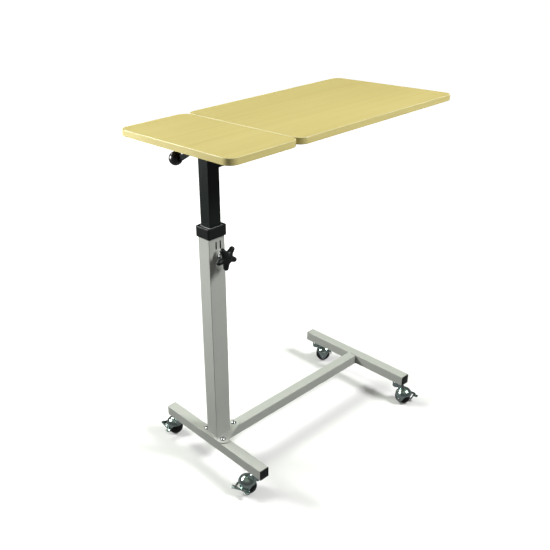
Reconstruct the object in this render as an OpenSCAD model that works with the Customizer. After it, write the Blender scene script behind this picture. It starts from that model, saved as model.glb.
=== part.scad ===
// Overbed table on a C-shaped base with four ball casters.
// A fixed small top and a tilting main top ride on a telescopic column.
// The origin is on the floor, below the middle of the table top.
// X runs along the top, from the column end to the free end. Z is up. Millimetres.

/* [Table top] */
// Length of the fixed small top along X
small_l = 210; // [190:5:220]
// Length of the tilting main top along X
main_l = 600; // [560:10:640]
// Width of both tops along Y
top_w = 400; // [360:10:440]
// Board thickness
board_t = 16; // [15:1:19]
// Radius of the board corners
corner_r = 25; // [20:1:40]
// Gap between the two boards
seam_gap = 2; // [1.5:0.5:3]
// Height of the top surface at the rest setting
top_z = 972; // [940:1:1000]

/* [Base] */
// Side of the square base tubes
tube = 31; // [29:0.5:32]
// Wall of the base tubes
tube_wall = 1.5; // [1.2:0.1:2]
// Outer corner radius of the base tubes
tube_r = 1.8; // [1.6:0.1:4]
// Length of both crossbars along Y
crossbar_l = 400; // [380:5:420]
// Length of the stem between the crossbars
stem_l = 600; // [560:10:640]

/* [Column] */
// Outer column size along X
col_w = 52; // [50:1:53]
// Outer column size along Y
col_d = 41; // [41:0.5:42]
// Wall of the outer column
col_wall = 1.5; // [1.2:0.1:1.5]
// Side of the square inner column
inner_w = 36; // [35:0.1:36]
// Height of the collar's underside above the floor
collar_z = 717.5; // [700:0.5:730]
// Height of the collar
collar_h = 28; // [24:1:32]

/* [Clamp knob] */
// Height of the clamp knob above the floor
knob_z = 672.5; // [665:1:680]
// Radius over the lobes of the star knob
knob_r = 31.5; // [29:0.5:33]
// Number of lobes
knob_lobes = 5; // [5:1:6]

/* [Tilt] */
// Diameter of the tilt shaft
shaft_d = 20; // [18:1:20]
// Diameter of the ball on the tilt lever
lever_ball_d = 34; // [30:1:36]

/* [Casters] */
// Height of a caster from the floor to the base tube
caster_h = 74; // [72:1:80]
// Diameter of the ball wheel
wheel_d = 48; // [46:1:48]
// Offset of the wheel axle from the swivel axis
trail = 25; // [24:0.5:27]
// Distance of each swivel axis from the middle of its crossbar
caster_y = 170; // [160:1:180]

/* [Hidden] */
$fn = 64;
eps = 0.01;
// column axis in the part frame: the middle of the top is at x = 0
seam_x = 98;                      // seam measured from the column axis
small_x0 = seam_x - small_l;
main_x1 = seam_x + main_l;
cx = -(small_x0 + main_x1)/2;
U = top_z - board_t;              // underside of the boards
t0 = caster_h;                    // underside of the base tubes
t1 = caster_h + tube;             // top of the base tubes
plate_t = 4;
front_x = -16;                    // front crossbar's centre, from the column axis
stem_x0 = front_x + tube/2;
rear_x = stem_x0 + stem_l + tube/2;
col_z0 = t1 + plate_t;
col_z1 = collar_z + collar_h - 2.5;
arm_top = U - 31;                 // top of the support arm
arm_z0 = arm_top - inner_w;
arm_x0 = inner_w/2;
arm_x1 = 330;
inner_z0 = arm_z0 - 398;
ax_z = U - 15;                    // tilt axis height
flat_t = 4;                       // steel flats under the boards
bolt_pts = [[front_x, -34], [front_x, 34], [56, 0]];
clamp_y = 32;                     // vertical clamp bolt beside the shaft
lever_end = [-6, 117, U - 65.5];    // centre of the lever's ball
// casters: x from the column axis, side in Y, swivel angle at rest
casters = [[front_x, 1, 82], [front_x, -1, 117], [rear_x, 1, 313], [rear_x, -1, 280]];
wr = wheel_d/2;
hood_r = wr + 1.8;
hood_i = wr + 0.9;
hood_up = 7.5;
axle_h = wr;                      // axle height above the floor

paint = [0.76, 0.78, 0.73];
black = [0.10, 0.10, 0.10];
woodc = [0.88, 0.81, 0.56];
steel = [0.70, 0.71, 0.72];
chrome = [0.80, 0.84, 0.84];

// ---------- shared shapes ----------
module rr(w, d, r) {
  square([w - 2*r, d], center = true);
  square([w, d - 2*r], center = true);
  for (sx = [-1, 1], sy = [-1, 1])
    translate([sx*(w/2 - r), sy*(d/2 - r)]) circle(r = r);
}
module rtube2(w, d, t, r) {
  difference() { rr(w, d, r); rr(w - 2*t, d - 2*t, max(r - t, 0.6)); }
}
module at_col() { translate([cx, 0, 0]) children(); }
// a cylinder along X, Y or Z from a start point
module cx_(r, x0, x1) { translate([x0, 0, 0]) rotate([0, 90, 0]) cylinder(r = r, h = x1 - x0); }
module cy_(r, y0, y1) { translate([0, y0, 0]) rotate([-90, 0, 0]) cylinder(r = r, h = y1 - y0); }

// ---------- base ----------
module crossbar(x, ends = true) {
  translate([x, 0, t0 + tube/2]) rotate([90, 0, 0])
    linear_extrude(height = crossbar_l - 4, center = true) rtube2(tube, tube, tube_wall, tube_r);
}
module stem_holes(x) {
  for (s = [-1, 1]) translate([x, s*caster_y, t0 - 1]) cylinder(r = 5.3, h = tube_wall + 2);
}
module front_crossbar() color(paint) at_col() difference() {
  crossbar(front_x);
  stem_holes(front_x);
  for (i = [0, 1]) translate([bolt_pts[i][0], bolt_pts[i][1], t1 - 3]) cylinder(r = 4.2, h = 4);
}
module rear_crossbar() color(paint) at_col() difference() {
  crossbar(rear_x);
  stem_holes(rear_x);
}
module stem_tube() color(paint) at_col() difference() {
  translate([stem_x0, 0, t0 + tube/2]) rotate([90, 0, 90])
    linear_extrude(height = stem_l) rtube2(tube, tube, tube_wall, tube_r);
  translate([bolt_pts[2][0], 0, t1 - 3]) cylinder(r = 4.2, h = 4);
}
module end_cap() {
  // head at y = 0..2, ribbed plug behind it
  rotate([90, 0, 0]) translate([0, 0, -2]) linear_extrude(height = 2) rr(tube - 0.6, tube - 0.6, tube_r);
  rotate([90, 0, 0]) translate([0, 0, -eps]) linear_extrude(height = 12)
    rr(tube - 2*tube_wall - 1.6, tube - 2*tube_wall - 1.6, 1);
  for (k = [0 : 2]) rotate([90, 0, 0]) translate([0, 0, 2.5 + 3.2*k]) linear_extrude(height = 1.2)
    rr(tube - 2*tube_wall - 0.2, tube - 2*tube_wall - 0.2, 1);
}
module crossbar_end_caps() color(black) at_col()
  for (x = [front_x, rear_x], s = [0, 1])
    translate([x, 0, t0 + tube/2]) rotate([0, 0, 180*s]) translate([0, crossbar_l/2 - 2, 0]) end_cap();

function arc_pts(p, r, a0, a1, n = 14) = [for (i = [0 : n]) p + r*[cos(a0 + (a1 - a0)*i/n), sin(a0 + (a1 - a0)*i/n)]];
module flange_outline(r) {
  // round corners about the three bolts, joined by straight tangents
  a = bolt_pts[0]; b = bolt_pts[1]; c = bolt_pts[2];
  t = 90 - atan2(c[1] - a[1], c[0] - a[0]);
  polygon(concat(arc_pts(c, r, -t, t), arc_pts(b, r, t, 180), arc_pts(a, r, 180, 360 - t)));
}
module column_flange() color(paint) at_col() difference() {
  translate([0, 0, t1]) linear_extrude(height = plate_t) flange_outline(17);
  for (p = bolt_pts) translate([p[0], p[1], t1 - 1]) cylinder(r = 4.3, h = plate_t + 2);
}
module button_bolt() {
  // origin under the head
  difference() {
    intersection() {
      translate([0, 0, -7.4]) sphere(r = 11.2);
      cylinder(r = 7, h = 4.2);
    }
    translate([0, 0, 1.6]) cylinder(r = 2.9, h = 4, $fn = 6);
  }
  translate([0, 0, -20]) cylinder(r = 4, h = 20 + eps);
}
module flange_bolts() color(chrome) at_col()
  for (p = bolt_pts) translate([p[0], p[1], t1 + plate_t]) button_bolt();
module flange_nuts() color(steel) at_col()
  for (p = bolt_pts) translate([p[0], p[1], 0]) difference() {
    union() {
      translate([0, 0, t1 - tube_wall - 14]) cylinder(r = 6.2, h = 14);
      translate([0, 0, t1 - tube_wall - 1.4]) cylinder(r = 8.5, h = 1.4);
    }
    translate([0, 0, t1 - 30]) cylinder(r = 4.05, h = 40);
  }

// ---------- outer column ----------
module outer_column() color(paint) at_col() difference() {
  translate([0, 0, col_z0]) linear_extrude(height = col_z1 - col_z0) rtube2(col_w, col_d, col_wall, 1.8);
  translate([0, 0, knob_z]) cy_(5.5, -col_d/2 - 2, -col_d/2 + 4);
  for (x = [-3, 11]) translate([x - 2.2, -col_d/2 - 2, 684]) cube([4.4, 5, 22]);
}
module column_collar() color(black) at_col() {
  translate([0, 0, collar_z]) difference() {
    linear_extrude(height = collar_h) rr(col_w + 8, col_d + 8, 4);
    translate([0, 0, -1]) linear_extrude(height = collar_h - 1.5) rr(col_w + 0.1, col_d + 0.1, 1.8);
    translate([0, 0, -1]) linear_extrude(height = collar_h + 2) rr(inner_w + 0.7, inner_w + 0.7, 2.5);
  }
  // guide pads inside the tube
  for (s = [-1, 1])
    translate([s*(inner_w/2 + 0.35 + (col_w/2 - col_wall - 0.1 - inner_w/2 - 0.35)/2), 0, collar_z - 30])
      linear_extrude(height = collar_h + 28)
        square([col_w/2 - col_wall - 0.1 - inner_w/2 - 0.35, inner_w - 2], center = true);
}
module clamp_boss() color(paint) at_col() translate([0, 0, knob_z]) difference() {
  union() { cy_(11.5, -col_d/2 - 9, -col_d/2); cy_(9, -col_d/2 - 11, -col_d/2 - 8); }
  cy_(5.05, -col_d/2 - 20, -col_d/2 + 2);
}

// ---------- caster fixings in the base ----------
module caster_nuts() color(steel) at_col()
  for (c = casters) translate([c[0], c[1]*caster_y, t0 + tube_wall]) difference() {
    cylinder(r = 8.6, h = 13, $fn = 6);
    translate([0, 0, -1]) cylinder(r = 5.05, h = 20);
  }
module caster_stems() color(chrome) at_col()
  for (c = casters) translate([c[0], c[1]*caster_y, t0]) {
    translate([0, 0, -1]) cylinder(r = 5, h = 22);
    translate([0, 0, -3]) cylinder(r = 9.5, h = 3);
    translate([0, 0, -21]) cylinder(r = 4, h = 20);
    translate([0, 0, -23]) cylinder(r = 6.4, h = 2.4);
  }

// ---------- height slide ----------
module inner_column() color(black) at_col() {
  translate([0, 0, inner_z0]) linear_extrude(height = arm_top - inner_z0) rtube2(inner_w, inner_w, 1.5, 2.2);
  // plate that closes the top
  translate([0, 0, arm_top - 3]) linear_extrude(height = 3) rr(inner_w - 2, inner_w - 2, 1.2);
}
module glide_shoe() color(black) at_col() difference() {
  translate([0, 0, inner_z0 - 8]) linear_extrude(height = 34)
    rr(col_w - 2*col_wall - 0.8, col_d - 2*col_wall - 0.8, 1.6);
  translate([0, 0, inner_z0]) linear_extrude(height = 40) rr(inner_w + 0.1, inner_w + 0.1, 2.2);
  translate([0, 0, inner_z0 - 10]) linear_extrude(height = 20) rr(inner_w - 8, inner_w - 8, 3.5);
}
module support_arm() color(black) at_col()
  translate([arm_x0, 0, arm_z0 + inner_w/2]) rotate([90, 0, 90])
    linear_extrude(height = arm_x1 - arm_x0) rtube2(inner_w, inner_w, 1.5, 2.2);
module arm_cap() {
  rotate([0, 90, 0]) linear_extrude(height = 2) rr(inner_w - 0.8, inner_w - 0.8, 2);
  translate([-12, 0, 0]) rotate([0, 90, 0]) linear_extrude(height = 12 + eps) rr(inner_w - 4.4, inner_w - 4.4, 1);
}
module arm_end_cap() color(black) at_col()
  translate([arm_x1, 0, arm_z0 + inner_w/2]) arm_cap();
module bearing(x0, x1) difference() {
  union() {
    translate([0, 0, ax_z]) cx_(14, x0, x1);
    translate([x0, -14, arm_top]) cube([x1 - x0, 28, ax_z - arm_top]);
  }
  translate([0, 0, ax_z]) cx_(shaft_d/2 + 0.05, x0 - 1, x1 + 1);
}
module shaft_bearings() color(black) at_col() {
  bearing(32, 50);
  bearing(222, 246);
}
module tilt_clamp() color(black) at_col() difference() {
  union() {
    translate([0, 0, ax_z]) cx_(14, -14, 14);
    translate([-14, -14, arm_top]) cube([28, 24, ax_z - arm_top]);
    translate([-11, 0, ax_z - 8]) cube([22, clamp_y + 1, 16]);
    translate([0, clamp_y + 1, ax_z - 8]) cylinder(r = 11, h = 16);
  }
  translate([0, 0, ax_z]) cx_(shaft_d/2 + 0.05, -20, 20);
  translate([-20, 5, ax_z - 1.5]) cube([40, 60, 3]);
  translate([0, clamp_y, ax_z - 20]) cylinder(r = 4.1, h = 40);
}
module clamp_bolt() color(steel) at_col() translate([0, clamp_y, 0]) {
  translate([0, 0, ax_z + 8]) cylinder(r = 7.2, h = 5, $fn = 6);
  translate([0, 0, ax_z - 23.5]) cylinder(r = 4, h = 32);
  translate([0, 0, ax_z - 26]) cylinder(r = 6.5, h = 4.5, $fn = 6);
}
module screw_hole(p) { translate([p[0], p[1], U - 10]) cylinder(r = 2.4, h = 14); }
small_screws = [[small_x0 + 36, -84], [small_x0 + 36, 84], [69, -84], [69, 84]];
main_screws = [[142, -119], [142, 119], [232, -119], [232, 119], [317, -119], [317, 119]];
module small_top_rails() color(black) at_col() difference() {
  for (s = [-1, 1]) translate([small_x0 + 24, s*84 - 11, U - flat_t]) cube([80 - small_x0 - 24, 22, flat_t]);
  for (p = small_screws) screw_hole(p);
}
module small_top_crossbars() color(black) at_col() {
  for (x = [[small_x0 + 24, small_x0 + 44], [17, 29], [58, 80]])
    translate([x[0], -73, U - flat_t]) cube([x[1] - x[0], 146, flat_t]);
  // risers standing on the arm, on both sides of the tilt shaft
  for (x = [[17, 29], [58, 80]], s = [-1, 1])
    translate([x[0], s*14.3 - 2, arm_top]) cube([x[1] - x[0], 4, U - flat_t - arm_top + eps]);
}
module board(x0, x1, holes) difference() {
  translate([(x0 + x1)/2, 0, U]) linear_extrude(height = board_t) rr(x1 - x0, top_w, corner_r);
  for (p = holes) translate([p[0], p[1], U - 1]) cylinder(r = 2.05, h = 13);
}
module small_top() color(woodc) at_col() board(small_x0, seam_x - seam_gap/2, small_screws);
module main_top() color(woodc) at_col() board(seam_x + seam_gap/2, main_x1, main_screws);
module pan_screw() {
  translate([0, 0, -2.6]) difference() {
    intersection() { cylinder(r = 4.4, h = 2.6); translate([0, 0, 4.6]) sphere(r = 6.2); }
    for (a = [0, 90]) rotate([0, 0, a]) translate([-2.4, -0.5, -1]) cube([4.8, 1, 2]);
  }
  cylinder(r = 2, h = 14);
}
module small_top_screws() color(steel) at_col()
  for (p = small_screws) translate([p[0], p[1], U - flat_t]) pan_screw();

// ---------- tilting main top ----------
module tilt_shaft() color(steel) at_col() translate([0, 0, ax_z]) cx_(shaft_d/2, -22, 336);
module shaft_clips() color(steel) at_col() translate([0, 0, ax_z])
  for (x = [-18, 331.5]) difference() {
    cx_(13.5, x, x + 1.5);
    cx_(shaft_d/2 + 0.02, x - 1, x + 3);
  }
module main_top_rails() color(black) at_col() difference() {
  for (s = [-1, 1]) translate([130, s*119 - 11, U - flat_t]) cube([200, 22, flat_t]);
  for (p = main_screws) screw_hole(p);
}
module main_top_crossbars() color(black) at_col()
  for (x = [[130, 154], [306, 330]]) {
    translate([x[0], -108, U - flat_t]) cube([24, 216, flat_t]);
    difference() {
      union() {
        translate([0, 0, ax_z]) cx_(13.8, (x[0] + x[1])/2 - 4, (x[0] + x[1])/2 + 4);
        translate([(x[0] + x[1])/2 - 4, -13.8, ax_z]) cube([8, 27.6, U - flat_t - ax_z + eps]);
      }
      translate([0, 0, ax_z]) cx_(shaft_d/2 + 0.02, x[0], x[1]);
    }
  }
module main_top_screws() color(steel) at_col()
  for (p = main_screws) translate([p[0], p[1], U - flat_t]) pan_screw();

// ---------- tilt lever ----------
hub_z = ax_z - 19.5;              // underside of the lever hub
lever_s = norm([lever_end[0], lever_end[1] - clamp_y]);   // length of the lever in plan
module tilt_lever() color(steel) at_col() difference() {
  union() {
    translate([0, clamp_y, hub_z]) cylinder(r = 11, h = 10.5);
    // flat bar on edge, sloping from the hub down to the ball
    translate([0, clamp_y, 0]) rotate([0, 0, -atan2(lever_end[0], lever_end[1] - clamp_y)])
      rotate([90, 0, 90]) linear_extrude(height = 6, center = true)
        polygon([[5, hub_z + 1], [lever_s - 17.6, lever_end[2] - 5.5], [lever_s - 17.6, lever_end[2] + 12],
                 [lever_s - 32, lever_end[2] + 18], [34, hub_z + 9], [5, hub_z + 9]]);
    translate(lever_end) rotate([0, 0, -atan2(lever_end[0], lever_end[1] - clamp_y)]) cy_(4, -18, -2);
  }
  translate([0, clamp_y, hub_z - 5]) cylinder(r = 4.05, h = 30);
}
module lever_ball() color(black) at_col() translate(lever_end) difference() {
  sphere(r = lever_ball_d/2);
  rotate([0, 0, -atan2(lever_end[0], lever_end[1] - clamp_y)]) cy_(4.05, -22, -1.5);
}

// ---------- clamp knob ----------
pad_y = -inner_w/2 - 0.4;         // face of the pad beside the inner column
knob_y = -col_d/2 - 18.5;         // back of the knob
module at_knob() { at_col() translate([0, 0, knob_z]) children(); }
module pressure_pad() color([0.72, 0.60, 0.32]) at_knob() cy_(4.4, pad_y - 3, pad_y);
module clamp_screw() color(steel) at_knob() cy_(5, knob_y - 14, pad_y - 3.02);
module clamp_washer() color(chrome) at_knob() difference() {
  cy_(10.5, knob_y, knob_y + 1.6);
  cy_(5.02, knob_y - 2, knob_y + 4);
}
module star_knob() color(black) at_knob() translate([0, knob_y + 38, 0]) difference() {
  union() {
    cy_(10.5, -46, -38);
    cy_(15, -63, -45.5);
    // lobes
    for (k = [0 : knob_lobes - 1]) rotate([0, -(360/knob_lobes*k - 97), 0]) {
      translate([knob_r - 7, 0, 0]) cy_(7, -61.5, -46.5);
      translate([0, -61.5, -7.5]) cube([knob_r - 7, 15, 15]);
    }
  }
  cy_(5.02, -54, -30);
  translate([0, -75, 0]) rotate([-90, 0, 0]) cylinder(r1 = 11, r2 = 7, h = 14);
}

// ---------- casters ----------
// local frame: swivel axis at the origin, z = 0 at the tube's underside, wheel towards +x
cz = -(caster_h - axle_h);
module at_caster(i) {
  c = casters[i];
  at_col() translate([c[0], c[1]*caster_y, t0]) rotate([0, 0, c[2]]) children();
}
bp = [trail + 8, cz + 4];         // brake pivot, x and z
// the hood is round about the ball and stretched up and outwards by hood_up
module hood(r) translate([trail, 0, cz]) rotate([0, 22, 0]) rotate_extrude($fn = 96) intersection() {
  union() {
    circle(r = r, $fn = 96);
    translate([0, hood_up]) circle(r = r, $fn = 96);
    translate([-r, 0]) square([2*r, hood_up]);
  }
  translate([0, -2*r]) square([2*r, 5*r]);
}
module fork() difference() {
  union() {
    // swivel cup
    translate([0, 0, -20]) cylinder(r = 11.5, h = 16.6);
    // neck and hood, open below a V-shaped edge
    difference() {
      union() {
        hood(hood_r);
        rotate([90, 0, 0]) linear_extrude(height = 15, center = true)
          polygon([[2, -3.6], [11, -4.2], [17, -8], [22, -14], [28, -20], [24, -30], [12, -34], [9.4, -22], [8, -20], [2, -20]]);
      }
      hood(hood_i);
      translate([trail, 0, cz]) rotate([90, 0, 0]) linear_extrude(height = 80, center = true)
        polygon([[0, -9], [40, 15], [40, -40], [-40, -40], [-40, 15]]);
    }
    // brake pivot stub on the +y ear
    translate([bp[0], 0, bp[1]]) cy_(2.5, 23.3, 30.5);
    translate([bp[0], 0, bp[1]]) cy_(4.2, 22.9, 26.4);
  }
  translate([0, 0, -30]) cylinder(r = 4.05, h = 40);
  translate([0, 0, -26]) cylinder(r = 7, h = 6);
  translate([trail, 0, cz]) cy_(2.53, -40, 40);
}
module axle() translate([trail, 0, cz]) {
  cy_(2.5, -hood_r - 0.6, hood_r + 0.6);
  cy_(4.2, hood_r + 0.1, hood_r + 0.9);
  cy_(4.2, -hood_r - 0.9, -hood_r - 0.1);
}
module wheel() translate([trail, 0, cz]) difference() {
  union() {
    intersection() { sphere(r = wr, $fn = 96); cy_(wr + 1, -21, 21); }
    cy_(wr, -4, 4);
  }
  cy_(2.56, -30, 30);
  for (s = [0, 1]) rotate([0, 0, 180*s]) cy_(8, 19.5, 22);
}
module brake() difference() {
  union() {
    translate([trail - 15, 27, bp[1] - 4]) cube([46, 2, 8]);
    translate([trail - 16, 27, bp[1] - 4]) cube([12, 10, 1.8]);
    translate([trail + 24, 17, bp[1] - 4]) cube([16, 12, 1.8]);
    translate([trail + 28, 8, bp[1] - 4]) cube([1.8, 21, 8]);
    translate([trail + 26.6, -5, bp[1] - 6]) cube([3.2, 15, 5]);
  }
  translate([bp[0], 0, bp[1]]) cy_(2.56, 20, 40);
}
module caster_fork(i) color(chrome) at_caster(i) fork();
module caster_axle(i) color(steel) at_caster(i) axle();
module caster_wheel(i) color(black) at_caster(i) wheel();
module caster_brake(i) color(chrome) at_caster(i) brake();

front_crossbar();
rear_crossbar();
stem_tube();
crossbar_end_caps();
column_flange();
flange_bolts();
flange_nuts();
outer_column();
column_collar();
clamp_boss();
caster_nuts();
caster_stems();
inner_column();
glide_shoe();
support_arm();
arm_end_cap();
shaft_bearings();
tilt_clamp();
clamp_bolt();
small_top_rails();
small_top_crossbars();
small_top();
small_top_screws();
tilt_shaft();
shaft_clips();
main_top_rails();
main_top_crossbars();
main_top();
main_top_screws();
tilt_lever();
lever_ball();
pressure_pad();
clamp_screw();
clamp_washer();
star_knob();
caster_fork(0);  // caster_fork_1
caster_axle(0);  // caster_axle_1
caster_wheel(0);  // caster_wheel_1
caster_brake(0);  // caster_brake_1
caster_fork(1);  // caster_fork_2
caster_axle(1);  // caster_axle_2
caster_wheel(1);  // caster_wheel_2
caster_brake(1);  // caster_brake_2
caster_fork(2);  // caster_fork_3
caster_axle(2);  // caster_axle_3
caster_wheel(2);  // caster_wheel_3
caster_brake(2);  // caster_brake_3
caster_fork(3);  // caster_fork_4
caster_axle(3);  // caster_axle_4
caster_wheel(3);  // caster_wheel_4
caster_brake(3);  // caster_brake_4
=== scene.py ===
import bpy, bmesh, math
from math import sin, cos, pi, radians, sqrt, atan2, exp
from mathutils import Vector, Matrix


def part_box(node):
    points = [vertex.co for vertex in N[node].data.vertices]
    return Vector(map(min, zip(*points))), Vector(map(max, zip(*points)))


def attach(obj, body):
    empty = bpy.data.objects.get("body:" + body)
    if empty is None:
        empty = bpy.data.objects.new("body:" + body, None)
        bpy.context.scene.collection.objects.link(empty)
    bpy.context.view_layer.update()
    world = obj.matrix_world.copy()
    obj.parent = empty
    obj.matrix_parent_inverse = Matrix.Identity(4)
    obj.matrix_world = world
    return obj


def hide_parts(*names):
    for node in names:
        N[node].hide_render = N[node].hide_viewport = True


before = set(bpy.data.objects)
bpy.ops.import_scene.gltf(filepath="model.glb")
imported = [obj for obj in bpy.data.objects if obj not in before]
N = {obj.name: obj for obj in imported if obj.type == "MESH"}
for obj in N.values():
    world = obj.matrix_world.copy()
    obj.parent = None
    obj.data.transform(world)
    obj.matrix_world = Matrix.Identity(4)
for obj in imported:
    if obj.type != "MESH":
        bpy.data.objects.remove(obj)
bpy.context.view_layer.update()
scene = bpy.context.scene
scene.view_settings.view_transform = "Standard"
MM = 0.001


def V3(x, y, z):
    return Vector((x * MM, y * MM, z * MM))


# ------------------------------------------------------------------ positions from the frame
def lo(n):
    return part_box(n)[0]


def hi(n):
    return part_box(n)[1]


def mid(n):
    a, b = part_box(n)
    return (a + b) / 2


CX = mid("inner_column").x / MM          # column axis
TOP = hi("main_top").z / MM              # top surface
UND = lo("main_top").z / MM              # underside of the boards
T0 = lo("stem_tube").z / MM              # base tubes
T1 = hi("stem_tube").z / MM
PLT = hi("column_flange").z / MM
COLT = hi("outer_column").z / MM
KZ = mid("clamp_boss").z / MM
AXZ = mid("tilt_shaft").z / MM
ARM0 = lo("support_arm").z / MM
ARM1 = hi("support_arm").z / MM
CW = (hi("outer_column").x - lo("outer_column").x) / MM   # column width and depth
CD = (hi("outer_column").y - lo("outer_column").y) / MM
IW = (hi("inner_column").x - lo("inner_column").x) / MM

# ------------------------------------------------------------------ camera
AZ, EL, ROLL = radians(-38.781), radians(27.156), radians(-2.936)
DIST, FPX, TX, TY, PX, PY = 1926.5, 685.698, -196.873, 31.357, 198.277, 290.756
back = Vector((sin(AZ) * cos(EL), -cos(AZ) * cos(EL), sin(EL)))
right = Vector((cos(AZ), sin(AZ), 0))
upv = back.cross(right)
r2 = right * cos(ROLL) + upv * sin(ROLL)
u2 = -right * sin(ROLL) + upv * cos(ROLL)
cam_loc = (Vector((200 - 293, 0, 350 + 104)) + r2 * TX + u2 * TY + back * DIST) * MM
cam_data = bpy.data.cameras.new("camera")
cam = bpy.data.objects.new("camera", cam_data)
scene.collection.objects.link(cam)
cam.matrix_world = Matrix((
    (r2.x, u2.x, back.x, cam_loc.x),
    (r2.y, u2.y, back.y, cam_loc.y),
    (r2.z, u2.z, back.z, cam_loc.z),
    (0, 0, 0, 1)))
cam_data.sensor_width = 36
cam_data.lens = FPX / 550 * 36
cam_data.shift_x = (275 - PX) / 550
cam_data.shift_y = (PY - 275) / 550
cam_data.clip_start, cam_data.clip_end = 0.05, 200
scene.camera = cam


# ------------------------------------------------------------------ materials
def mk(name):
    m = bpy.data.materials.new(name)
    m.use_nodes = True
    nt = m.node_tree
    nt.nodes.clear()
    out = nt.nodes.new("ShaderNodeOutputMaterial")
    b = nt.nodes.new("ShaderNodeBsdfPrincipled")
    nt.links.new(b.outputs[0], out.inputs[0])
    return m, nt, b


def coords(nt, scale, rot=(0, 0, 0)):
    tc = nt.nodes.new("ShaderNodeTexCoord")
    mp = nt.nodes.new("ShaderNodeMapping")
    mp.inputs["Scale"].default_value = scale
    mp.inputs["Rotation"].default_value = rot
    nt.links.new(tc.outputs["Object"], mp.inputs["Vector"])
    return mp.outputs[0]


def noise(nt, vec, scale, detail=4.0, rough=0.55, dist=0.0):
    n = nt.nodes.new("ShaderNodeTexNoise")
    n.inputs["Scale"].default_value = scale
    n.inputs["Detail"].default_value = detail
    n.inputs["Roughness"].default_value = rough
    n.inputs["Distortion"].default_value = dist
    nt.links.new(vec, n.inputs["Vector"])
    return n.outputs[0]


def ramp(nt, fac, stops):
    r = nt.nodes.new("ShaderNodeValToRGB")
    e = r.color_ramp.elements
    e[0].position, e[0].color = stops[0][0], (*stops[0][1], 1)
    e[1].position, e[1].color = stops[-1][0], (*stops[-1][1], 1)
    for p, c in stops[1:-1]:
        k = e.new(p)
        k.color = (*c, 1)
    nt.links.new(fac, r.inputs[0])
    return r.outputs[0]


def rng(nt, fac, a, b):
    r = nt.nodes.new("ShaderNodeMapRange")
    r.inputs["To Min"].default_value = a
    r.inputs["To Max"].default_value = b
    nt.links.new(fac, r.inputs["Value"])
    return r.outputs[0]


def mixf(nt, a, b, wa=0.5):
    m = nt.nodes.new("ShaderNodeMix")
    m.data_type = "FLOAT"
    m.inputs[0].default_value = wa
    nt.links.new(a, m.inputs[2])
    nt.links.new(b, m.inputs[3])
    return m.outputs[0]


def bump(nt, b, height, strength, dist, prev=None):
    n = nt.nodes.new("ShaderNodeBump")
    n.inputs["Strength"].default_value = strength
    n.inputs["Distance"].default_value = dist
    nt.links.new(height, n.inputs["Height"])
    if prev is not None:
        nt.links.new(prev, n.inputs["Normal"])
    nt.links.new(n.outputs[0], b.inputs["Normal"])
    return n.outputs[0]


def coated(name, c0, c1, r0, r1, metallic=0.0, big=14.0, fine=900.0, bs=0.12, bd=0.00015, coat=0.0, spec=0.5):
    """A coated or moulded surface: slow colour drift, varied roughness, fine surface relief."""
    m, nt, b = mk(name)
    v = coords(nt, (1, 1, 1))
    n1 = noise(nt, v, big, 5.0, 0.6)
    n2 = noise(nt, v, fine, 3.0, 0.5)
    n3 = noise(nt, v, big * 9, 4.0, 0.6)
    nt.links.new(ramp(nt, mixf(nt, n1, n3, 0.4), [(0.3, c0), (0.7, c1)]), b.inputs["Base Color"])
    nt.links.new(rng(nt, n3, r0, r1), b.inputs["Roughness"])
    b.inputs["Metallic"].default_value = metallic
    b.inputs["Specular IOR Level"].default_value = spec
    if coat:
        b.inputs["Coat Weight"].default_value = coat
        b.inputs["Coat Roughness"].default_value = 0.08
    bump(nt, b, n2, bs, bd)
    return m


GREY = coated("grey_powder_coat", (0.408, 0.425, 0.388), (0.436, 0.453, 0.415), 0.40, 0.50, fine=1100, bs=0.10, bd=0.00012, spec=0.35)
BLACKP = coated("black_powder_coat", (0.006, 0.009, 0.008), (0.010, 0.014, 0.012), 0.26, 0.38, fine=1100, bs=0.10, bd=0.00012, spec=0.22)
PLAST = coated("black_plastic", (0.005, 0.006, 0.006), (0.010, 0.011, 0.011), 0.30, 0.42, fine=1600, bs=0.16, bd=0.0001, spec=0.25)
GLOSS = coated("gloss_black", (0.006, 0.006, 0.007), (0.010, 0.010, 0.011), 0.22, 0.30, fine=500, bs=0.02, bd=0.00005, coat=0.25)
WHEELM = coated("wheel_plastic", (0.004, 0.005, 0.005), (0.009, 0.009, 0.009), 0.24, 0.36, fine=900, bs=0.10, bd=0.0001, spec=0.25)
INSERT = coated("guide_plastic", (0.20, 0.21, 0.205), (0.27, 0.28, 0.275), 0.35, 0.45, fine=1300, bs=0.12, bd=0.0001)
CHROME = coated("caster_chrome", (0.44, 0.56, 0.53), (0.58, 0.69, 0.66), 0.10, 0.22, metallic=1.0, big=40, fine=260, bs=0.05, bd=0.0002)
DARKCH = coated("bolt_chrome", (0.42, 0.44, 0.445), (0.54, 0.555, 0.56), 0.12, 0.24, metallic=1.0, big=60, fine=500, bs=0.05, bd=0.0001)
ZINC = coated("zinc_steel", (0.50, 0.515, 0.53), (0.62, 0.63, 0.64), 0.26, 0.42, metallic=1.0, big=30, fine=700, bs=0.10, bd=0.0001)
BRASS = coated("brass_pad", (0.58, 0.42, 0.16), (0.66, 0.50, 0.22), 0.25, 0.4, metallic=1.0, big=50, fine=700, bs=0.1, bd=0.0001)
WELD = coated("weld_paint", (0.38, 0.39, 0.362), (0.42, 0.43, 0.402), 0.34, 0.48, fine=600, bs=0.25, bd=0.0003)


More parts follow.
